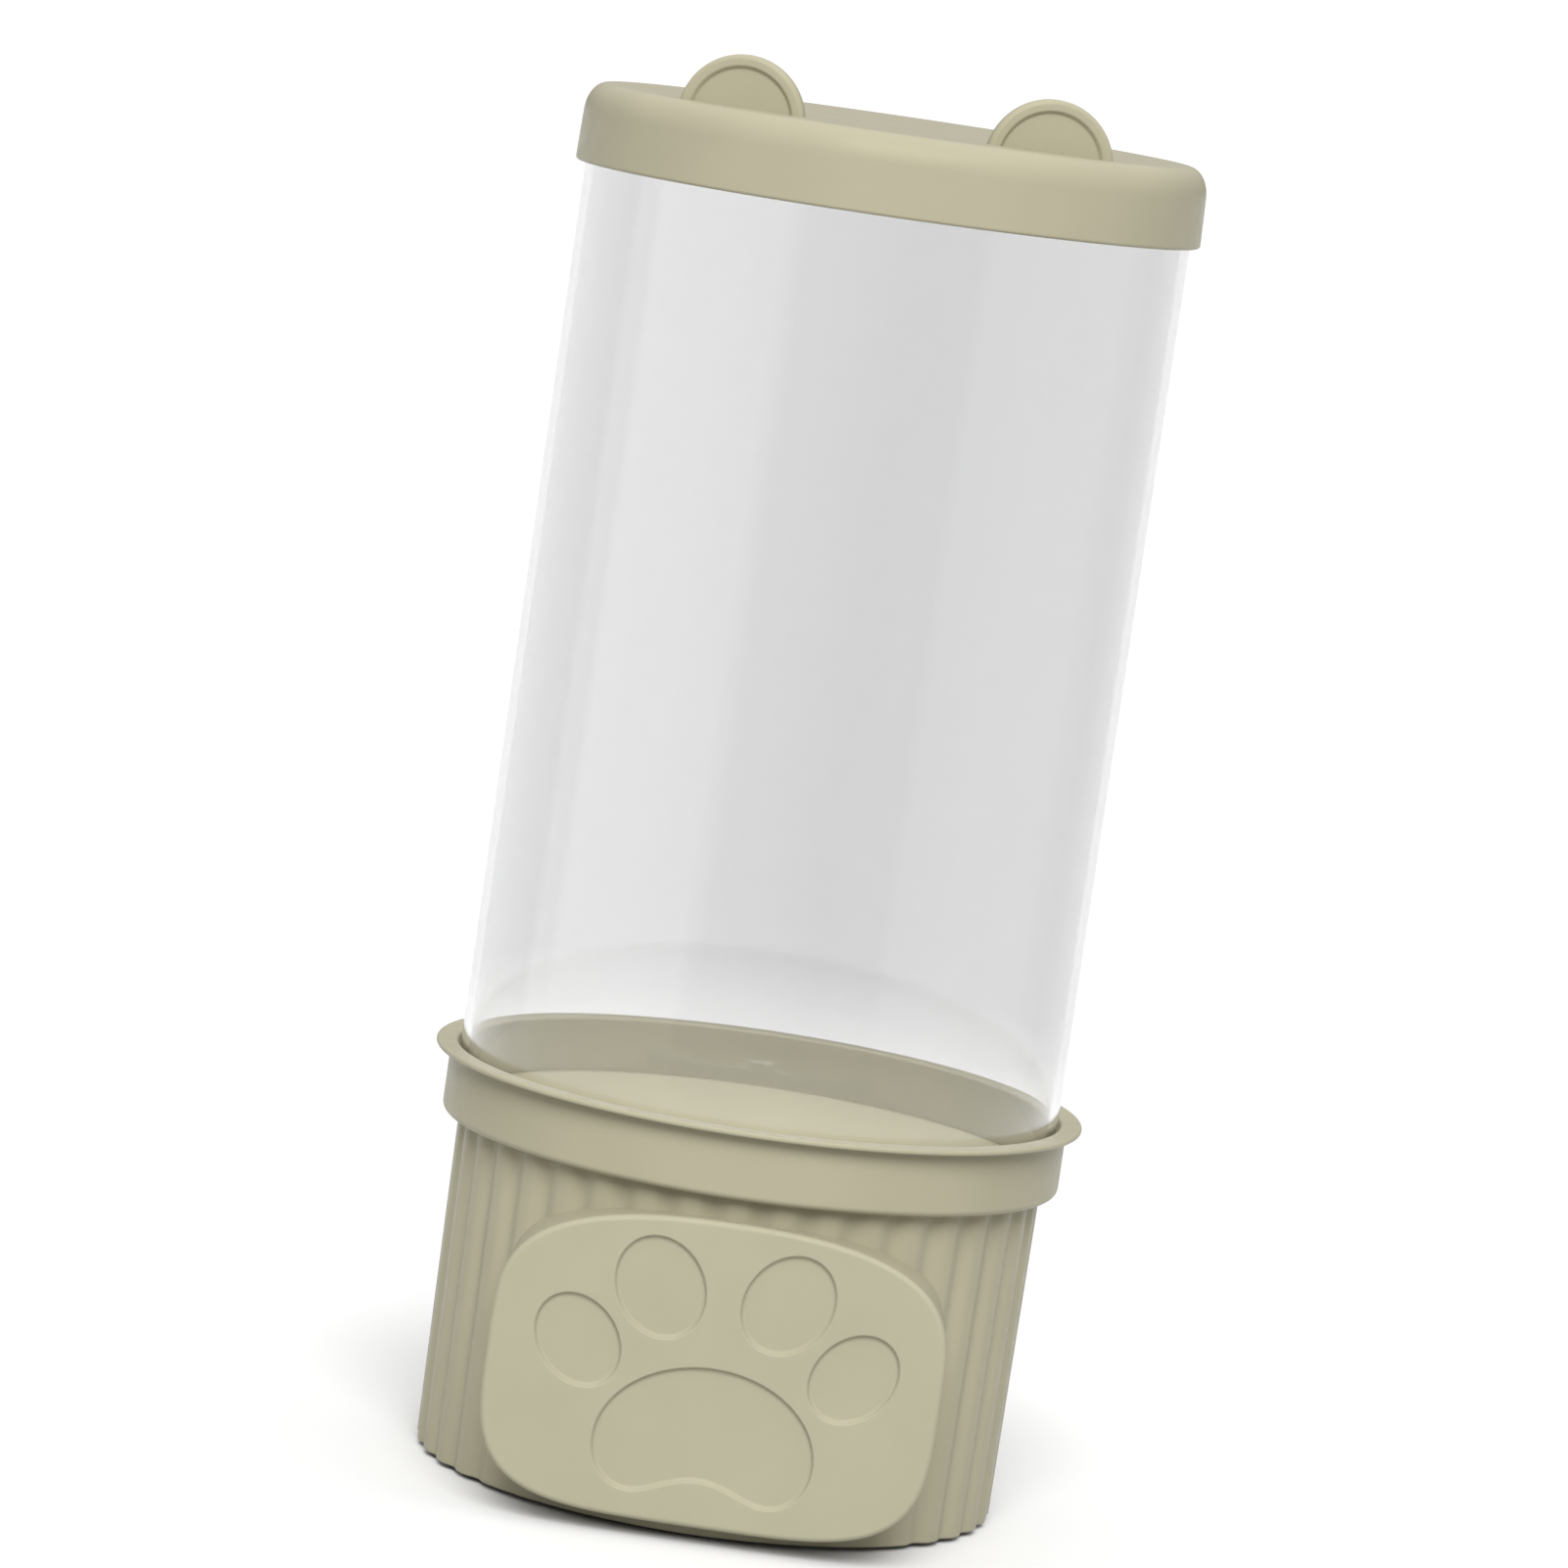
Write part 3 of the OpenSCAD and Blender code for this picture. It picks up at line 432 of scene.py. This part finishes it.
lid_underside = rounded([
    (PLUG_IN, LID_CEILING, 0), (PLUG_IN, PLUG_LOW, 0.5), (62.0, PLUG_LOW, 0.2), (PLUG_R, 281.2, 0.3),
    (PLUG_R, SEAL_LOW, 0), (SEAL_R, SEAL_LOW, 0), (SEAL_R, SEAL_HIGH, 0), (PLUG_R, SEAL_HIGH, 0),
    (PLUG_R, LID_CEILING, 0.3), (SKIRT_IN, LID_CEILING, 0.3), (SKIRT_IN, LID_BOTTOM, 0.5),
    (SKIRT_R, LID_BOTTOM, 0.7), (66.8, 289.4, 0)])[:-1]
shoulder = [(SHOULDER_R + SHOULDER_WIDE * math.cos(a), LID_TOP - SHOULDER_HIGH * (1 - math.sin(a)))
            for a in np.radians(np.linspace(0, 90, 19))]
lid_profile = ([(0, LID_CEILING), (30, LID_CEILING)] + [tuple(p) for p in lid_underside]
               + shoulder + [(50, LID_TOP), (25, LID_TOP), (0, LID_TOP)])
lid_parts = [turned(lid_profile, 288, False)]

# Ears: half discs with a raised rim in front, turned a little outwards
EAR_X, EAR_Y, EAR_Z, EAR_TURN = 32.1, -42, 293.3, 12
EAR_R, EAR_HALF, EAR_DISH_R, EAR_DISH = 13.6, 1.7, 10.6, 0.8

ear_profile = rounded([(0, EAR_HALF, 0), (0, -EAR_HALF + EAR_DISH, 0),
                       (EAR_DISH_R, -EAR_HALF + EAR_DISH, 0.5), (11.3, -EAR_HALF, 0.6),
                       (EAR_R, -EAR_HALF, 1.15), (EAR_R, EAR_HALF, 1.3)], 8)
sweep = np.radians(np.linspace(0, 180, 65))
rows, columns = len(ear_profile), len(sweep)
ear_faces = grid_faces(rows, columns, True, False)
ear_faces.append(tuple(i * columns for i in range(rows)))
ear_faces.append(tuple(i * columns + columns - 1 for i in reversed(range(rows))))
for side in (-1, 1):
    spin = math.radians(side * EAR_TURN)
    ear_points = []
    for rho, deep in ear_profile:
        for a in sweep:
            x, z = rho * math.cos(a), rho * math.sin(a)
            ear_points.append((side * EAR_X + x * math.cos(spin) - deep * math.sin(spin),
                               EAR_Y + x * math.sin(spin) + deep * math.cos(spin), EAR_Z + z))
    lid_parts.append((ear_points, ear_faces))
add_piece("lid_moulding", lid_parts, "lid", "shell", "lid")


# ---------------------------------------------------------------- clear tube

TUBE_R, TUBE_IN, TUBE_TOP, LEDGE_Z = 65, 63.2, 293, 75.0
TUBE_EDGE = 0.35

tube_profile = rounded([(TUBE_IN, LEDGE_Z, TUBE_EDGE), (TUBE_R, LEDGE_Z, TUBE_EDGE),
                        (TUBE_R, TUBE_TOP, TUBE_EDGE), (TUBE_IN, TUBE_TOP, TUBE_EDGE)], 4)
add_piece("clear_tube", [turned(tube_profile, 360)], "hopper", "clear", "hopper_tube", 60)


# ---------------------------------------------------------------- base cup

RIBS, PER_RIB = 40, 18
CAVITY_R, CREST_R, GROOVE, TAPER = 60.9, 63.4, 1.1, 0.7
CUP_LOW, COLLAR_LOW, COLLAR_R = 1.0, 73.2, 67.1
LIP_R, LIP_LOW, LIP_TOP, MOUTH_R = 70.3, 87.2, 88.4, 65.6
HOLE_HALF = 93                      # columns either side of the front that the opening in the wall spans
HOLE_LOW, HOLE_HIGH = 3.9, 60.5
PLATE_A, PLATE_TOP, PLATE_LOW, PLATE_Z = 47.5, 31.5, 33.4, 37.45
ROUND_X, ROUND_Z, SQUARE = 2.45, 3.7, 4     # powers of the plate's outline, upper half and lower half
BOSS_INSET, BOSS_FRONT, BOSS_WALL, BOSS_ROUND = 0.6, -66.6, 2.2, 1.6
BOSS_SEAT = BOSS_INSET + 1.1        # inset of the line where the wall ends inside the boss
WINDOW_HALF, SILL_Y = 31.5, -62.3
columns = RIBS * PER_RIB

cup_profile = rounded([
    (CAVITY_R, CUP_LOW, 0.4), (CREST_R, CUP_LOW, 0.5), (CREST_R, HOLE_LOW, 0), (CREST_R, HOLE_HIGH, 0),
    (CREST_R, COLLAR_LOW, 0), (COLLAR_R, COLLAR_LOW, 1.5), (COLLAR_R, LIP_LOW, 0.5),
    (LIP_R, LIP_LOW, 0.5), (LIP_R, LIP_TOP, 0.55), (MOUTH_R, LIP_TOP, 0.75), (MOUTH_R, LEDGE_Z, 0.3),
    (CAVITY_R, LEDGE_Z, 0.3), (CAVITY_R, HOLE_HIGH, 0), (CAVITY_R, HOLE_LOW, 0)], 6)


def row_at(radius, height):
    """Row of the cup's profile nearest to a place."""
    return int(np.argmin([abs(r - radius) + abs(z - height) for r, z in cup_profile]))


outer_low, outer_high = row_at(CREST_R, HOLE_LOW), row_at(CREST_R, HOLE_HIGH)
inner_low, inner_high = row_at(CAVITY_R, HOLE_LOW), row_at(CAVITY_R, HOLE_HIGH)


def in_hole(i, j):
    """Whether a face of the cup's grid lies in the opening in its front."""
    return (j < HOLE_HALF or j >= columns - HOLE_HALF) and (
        outer_low <= i < outer_high or inner_high <= i < inner_low)


def cup_radius(r, z, j):
    """Radius of the wall: rounded ribs, and a slight taper towards the floor."""
    if z > COLLAR_LOW + 0.01 or r < CAVITY_R + 0.5:
        return r
    phase = (j / PER_RIB + 0.5) % 1 * 2 - 1
    dip = GROOVE * (0.5 - 0.5 * math.cos(math.pi * phase)) ** 1.6
    if z < HOLE_HIGH - 1 and (j < HOLE_HALF or j >= columns - HOLE_HALF + 1):
        dip = 0
    taper = TAPER * (1 - (z - CUP_LOW) / (COLLAR_LOW - CUP_LOW))
    return CREST_R - taper - dip + min(r - CREST_R, 0)


def edge_height(x, inset, upper):
    """Height at which the plate's outline, moved in by an inset, passes a place in X."""
    share = min(1.0, abs(x) / (PLATE_A - inset))
    if upper:
        return PLATE_Z + (PLATE_TOP - inset) * math.sqrt(1 - share ** ROUND_X) ** (2 / ROUND_Z)
    return PLATE_Z - (PLATE_LOW - inset) * (1 - share ** SQUARE) ** (1 / SQUARE)


cup_points = []
for i, (r, z) in enumerate(cup_profile):
    for j in range(columns):
        a = math.radians(-90 + j * 360 / columns)
        radius = cup_radius(r, z, j)
        x, y, height = radius * math.cos(a), radius * math.sin(a), z
        if min(j, columns - j) <= HOLE_HALF:
            if i in (outer_low, inner_low) and abs(x) > WINDOW_HALF:
                height = edge_height(x, BOSS_SEAT, False)
            if i in (outer_high, inner_high):
                height = min(HOLE_HIGH, edge_height(x, BOSS_SEAT, True))
            if z <= HOLE_LOW and abs(x) <= WINDOW_HALF:
                y = max(y, SILL_Y)
        cup_points.append((x, y, height))
cup_faces = grid_faces(len(cup_profile), columns, True, True, in_hole)
ring = [(columns - HOLE_HALF + k) % columns for k in range(2 * HOLE_HALF + 1)]
for outer_row, inner_row in ((outer_low, inner_low), (outer_high, inner_high)):
    for a, b in zip(ring, ring[1:]):
        cup_faces.append((outer_row * columns + a, outer_row * columns + b,
                          inner_row * columns + b, inner_row * columns + a))
for j in (ring[0], ring[-1]):
    cup_faces.append(tuple(i * columns + j for i in (outer_low, outer_high, inner_high, inner_low)))
cup_parts = [(cup_points, cup_faces)]


# Boss behind the plate: an arch with the plate's outline that is open below, lofted from its
# front back into the wall

def plate_outline(angle, inset):
    """Outline in X and Z by angle. The upper half slopes away at the sides, the lower is squarer."""
    c, s = math.cos(angle), math.sin(angle)
    if s >= 0:
        u, v = abs(c) ** (2 / ROUND_X), (PLATE_TOP - inset) * s ** (2 / ROUND_Z)
    else:
        u, v = abs(c) ** (2 / SQUARE), (inset - PLATE_LOW) * (-s) ** (2 / SQUARE)
    return np.array((math.copysign(u, c) * (PLATE_A - inset), PLATE_Z + v))


def arch_angles(count):
    """Angles that step evenly along the arch from its right foot over the top to its left foot."""
    angles = np.linspace(-math.pi / 2, 1.5 * math.pi, 8001)
    path = np.array([plate_outline(a, BOSS_INSET) for a in angles])
    keep = ~((np.abs(path[:, 0]) < WINDOW_HALF) & (path[:, 1] < PLATE_Z))
    angles, path = angles[keep], path[keep]
    along = np.concatenate(([0], np.cumsum(np.linalg.norm(np.diff(path, axis=0), axis=1))))
    return np.interp(np.linspace(0, along[-1], count), along, angles)


def on_boss(angle, y, inset):
    """A point of the boss at a depth, kept out of the window between the cheeks."""
    x, z = plate_outline(angle, BOSS_INSET + inset)
    if z < PLATE_Z:
        x = math.copysign(max(abs(x), WINDOW_HALF), x)
    return np.array((x, y, z))


def flank_end(angle, inset, radius):
    """Where the boss's flank meets a cylinder about the Z axis."""
    x = on_boss(angle, 0, inset)[0]
    return -math.sqrt(radius ** 2 - x ** 2)


top_half = max(abs(plate_outline(a, BOSS_INSET)[0]) for a in np.radians(np.arange(0, 90, 0.1))
               if plate_outline(a, BOSS_INSET)[1] >= HOLE_HIGH)


def window_point(x, z, y):
    """The point on the edge of the window in the boss's front that goes with one on its outline."""
    if z < HOLE_HIGH:
        return np.array((math.copysign(WINDOW_HALF, x), y, z))
    return np.array((x * WINDOW_HALF / top_half, y, HOLE_HIGH))


RELIEF, RELIEF_TOP, RELIEF_RUN = 0.8, 8.6, 0.7      # the arch's feet stand back to clear the tilting bin
FLANK_OUT_R, FLANK_IN_R = 62.0, 61.4                # where the boss's flanks end inside the wall
arch = []
for angle in arch_angles(361):
    front = on_boss(angle, 0, 0)
    front_y = BOSS_FRONT + RELIEF * min(1, max(0, (RELIEF_TOP - front[2]) / RELIEF_RUN))
    section = [window_point(front[0], front[2], front_y)]
    for turn in np.radians(np.arange(9) * 11.25):
        section.append(on_boss(angle, front_y + BOSS_ROUND * (1 - math.cos(turn)),
                               BOSS_ROUND * (1 - math.sin(turn))))
    end = flank_end(angle, 0, FLANK_OUT_R)
    section.extend(on_boss(angle, y, 0) for y in np.linspace(front_y + BOSS_ROUND, end, 9)[1:])
    end = flank_end(angle, BOSS_WALL, FLANK_IN_R)
    section.extend(on_boss(angle, y, BOSS_WALL) for y in np.linspace(end, front_y + BOSS_WALL, 5))
    section.append(window_point(front[0], front[2], front_y + BOSS_WALL))
    arch.append(section)
stations, around = len(arch), len(arch[0])
arch_faces = grid_faces(stations, around, False, True)
arch_faces.append(tuple(range(around)))
arch_faces.append(tuple((stations - 1) * around + i for i in reversed(range(around))))
cup_parts.append(([p for section in arch for p in section], arch_faces))

# Cheeks that hold the hinge pins
CHEEK_FRONT, CHEEK_BACK, CHEEK_LOW, CHEEK_TOP, CHEEK_OUT = -65.4, -51, 6.2, 24, 35
PIN_Y, PIN_Z, PIN_HOLE_R, PIN_HOLE_END = -63, 8.5, 1.55, 34.4

cheek = even(rounded([(CHEEK_FRONT, CHEEK_LOW, 0.5), (CHEEK_BACK, CHEEK_LOW, 0.5),
                      (CHEEK_BACK, CHEEK_TOP, 2), (CHEEK_FRONT, CHEEK_TOP, 2)], 8), 120)
cheek_edge = [(0.2, CHEEK_OUT), (0, CHEEK_OUT - 0.2), (0, WINDOW_HALF + 0.2), (0.2, WINDOW_HALF)]
pin_hole = (circle(PIN_HOLE_R, (PIN_Y, PIN_Z), 40), [(0, WINDOW_HALF), (0, PIN_HOLE_END)])
for side in (-1, 1):
    cup_parts.append(panel(cheek, cheek_edge, [pin_hole],
                           lambda u, v, w, side=side: (side * w, u, v)))

# Pillars for the housing and the cover, their webs to the wall, and the board's posts
PILLAR_RING, PILLAR_R, PILLAR_LOW, PILLAR_TOP, WEB_R = 54, 4, 4.2, 44, 1.2
POST_X, POST_R, POST_TIP, POST_ROOT = 14.5, 2.6, 53.6, 59.9

for degrees in (-14, 56, 124, 194):
    c, s = math.cos(math.radians(degrees)), math.sin(math.radians(degrees))
    cup_parts.append(rod((PILLAR_RING * c, PILLAR_RING * s), PILLAR_R, PILLAR_LOW, PILLAR_TOP))
    for reach in (57, 58.5, 60):
        cup_parts.append(rod((reach * c, reach * s), WEB_R, PILLAR_LOW, PILLAR_TOP, columns=8))
for x in (-POST_X, POST_X):
    for z in (24.5, 40.5):
        cup_parts.append(rod((x, z), POST_R, POST_TIP, POST_ROOT, "y"))

# Seat round the button and the lens at the back: two discs run together
BUTTON_Z, BUTTON_HOLE_R, LENS_X, LENS_R = 34, 5.4, 13, 2.05
SEAT_R, LENS_SEAT_R, SEAT_ROOT, SEAT_FACE = 9.0, 5, 61, 64

seat = []
for a in np.radians(np.arange(0, 360, 2.0)):
    ray = np.array((math.cos(a), math.sin(a)))
    reach = SEAT_R
    along = LENS_X * ray[0]
    inside = LENS_SEAT_R ** 2 - (LENS_X ** 2 - along ** 2)
    if inside > 0 and along > 0:
        reach = max(reach, along + math.sqrt(inside))
    seat.append(ray * reach)
seat = smooth(even(np.array(seat), 200), 6) + (0, BUTTON_Z)
seat_edge = [(0, SEAT_ROOT), (0, 63.2), (0.07, 63.55), (0.25, 63.85), (0.6, SEAT_FACE)]
hole_edge = [(-0.4, SEAT_FACE), (-0.12, 63.88), (0, 63.6), (0, SEAT_ROOT)]
cup_parts.append(panel(seat, seat_edge, [(circle(BUTTON_HOLE_R, (0, BUTTON_Z)), hole_edge),
                                         (circle(LENS_R, (LENS_X, BUTTON_Z), 40), hole_edge)]))
add_piece("cup_moulding", cup_parts, "base", "shell", "base_cup")


# ---------------------------------------------------------------- paw plate

FACE, BACK, FACE_ROUND = -70.0, -66.9, 1.2
PAD_Z = PLATE_Z - 17.35
PAD_HALF, PAD_RISE, PAD_DROP, NOTCH_HALF, NOTCH = 23.1, 17.8, 10.8, 17.2, 4.7

# Large pad: half an ellipse above, and a squarer lower edge with a notch in its middle
pad = [(PAD_HALF * math.cos(a), PAD_Z + PAD_RISE * math.sin(a))
       for a in np.radians(np.arange(0, 181, 1.0))]
for x in -PAD_HALF * np.cos(np.radians(np.arange(1, 180, 1.0))):
    drop = PAD_DROP * math.sqrt(max(0, 1 - (abs(x) / PAD_HALF) ** 5))
    drop -= NOTCH * math.cos(math.radians(min(90, abs(x) / NOTCH_HALF * 90))) ** 2
    pad.append((x, PAD_Z - drop))
prints = [smooth(even(np.array(pad), 320), 10)]
for side in (-1, 1):
    prints.append(circle(8.2, (side * 28.9, PLATE_Z + 2.6), 144, 10.4, side * -40))
    prints.append(circle(9.1, (side * 13.4, PLATE_Z + 16.05), 144, 11, side * -30))

outline = even(np.array([plate_outline(a, 0) for a in np.radians(np.arange(0, 360, 0.25))]), 480)
plate_edge = [(0.3, BACK), (0, BACK - 0.3)] + [
    (FACE_ROUND * (1 - math.cos(t)), FACE + FACE_ROUND * (1 - math.sin(t)))
    for t in np.radians(np.arange(0, 91, 11.25))]
print_edge = [(-0.45, 0), (-0.32, 0.02), (-0.18, 0.1), (-0.06, 0.27), (0.08, 0.52), (0.22, 0.74),
              (0.38, 0.89), (0.6, 0.97), (0.9, 1.0)]
print_edge = [(inset, FACE + depth) for inset, depth in print_edge]
add_piece("plate_moulding", [panel(outline, plate_edge, [(loop, print_edge) for loop in prints])],
          "bin", "plate", "paw_plate")


# ---------------------------------------------------------------- floor and light

# Floor: white paper that throws less light back up at the feeder than it shows
FLOOR_HALF, FLOOR_SEEN, FLOOR_THROWN = 400, 0.75, 0.5
corners = [(-FLOOR_HALF, -FLOOR_HALF, 0), (FLOOR_HALF, -FLOOR_HALF, 0),
           (FLOOR_HALF, FLOOR_HALF, 0), (-FLOOR_HALF, FLOOR_HALF, 0)]
floor_mesh = bpy.data.meshes.new("floor")
floor_mesh.from_pydata(corners, [], [(0, 1, 2, 3)])
floor = bpy.data.objects.new("floor", floor_mesh)
bpy.context.scene.collection.objects.link(floor)
paper = surface("floor_paper", (FLOOR_SEEN,) * 3, 0.9, mottle=0.002, grain_depth=0.002)
tree = paper.node_tree
dull = tree.nodes.new("ShaderNodeBsdfDiffuse")
dull.inputs["Color"].default_value = (FLOOR_THROWN, FLOOR_THROWN, FLOOR_THROWN, 1)
switch(tree, on_rays(tree, "Is Diffuse Ray"), tree.nodes["Principled BSDF"], dull)
floor.data.materials.append(paper)

# World: white behind the feeder and through its tube, and brighter overhead than at the horizon
# for everything that it lights
SKY_LOW, SKY_HIGH, BACKDROP = 0.21, 1.26, 1.28
world = bpy.data.worlds.new("studio")
bpy.context.scene.world = world
world.use_nodes = True
tree = world.node_tree
background = tree.nodes["Background"]
background.inputs["Color"].default_value = (1, 1, 1, 1)
axes = tree.nodes.new("ShaderNodeSeparateXYZ")
tree.links.new(tree.nodes.new("ShaderNodeTexCoord").outputs["Generated"], axes.inputs["Vector"])
overhead = mapped(tree, axes.outputs["Z"], (0, 1), (SKY_LOW, SKY_HIGH))
seen = on_rays(tree, "Is Camera Ray", "Is Transmission Ray")
level = mapped(tree, seen, (0, 1), (0, BACKDROP))
tree.links.new(overhead, level.node.inputs["To Min"])
tree.links.new(level, background.inputs["Strength"])

# Key light: a wide soft lamp in front of the feeder and above it
SUN_POWER, SUN_WIDTH, SUN_FROM = 3.03, 34, (0.03, -0.765, 0.643)
sun_data = bpy.data.lights.new("key", "SUN")
sun_data.energy = SUN_POWER
sun_data.angle = math.radians(SUN_WIDTH)
sun = bpy.data.objects.new("key", sun_data)
sun.rotation_euler = Vector(SUN_FROM).to_track_quat("Z", "Y").to_euler()
bpy.context.scene.collection.objects.link(sun)

bpy.context.scene.view_settings.view_transform = "Standard"
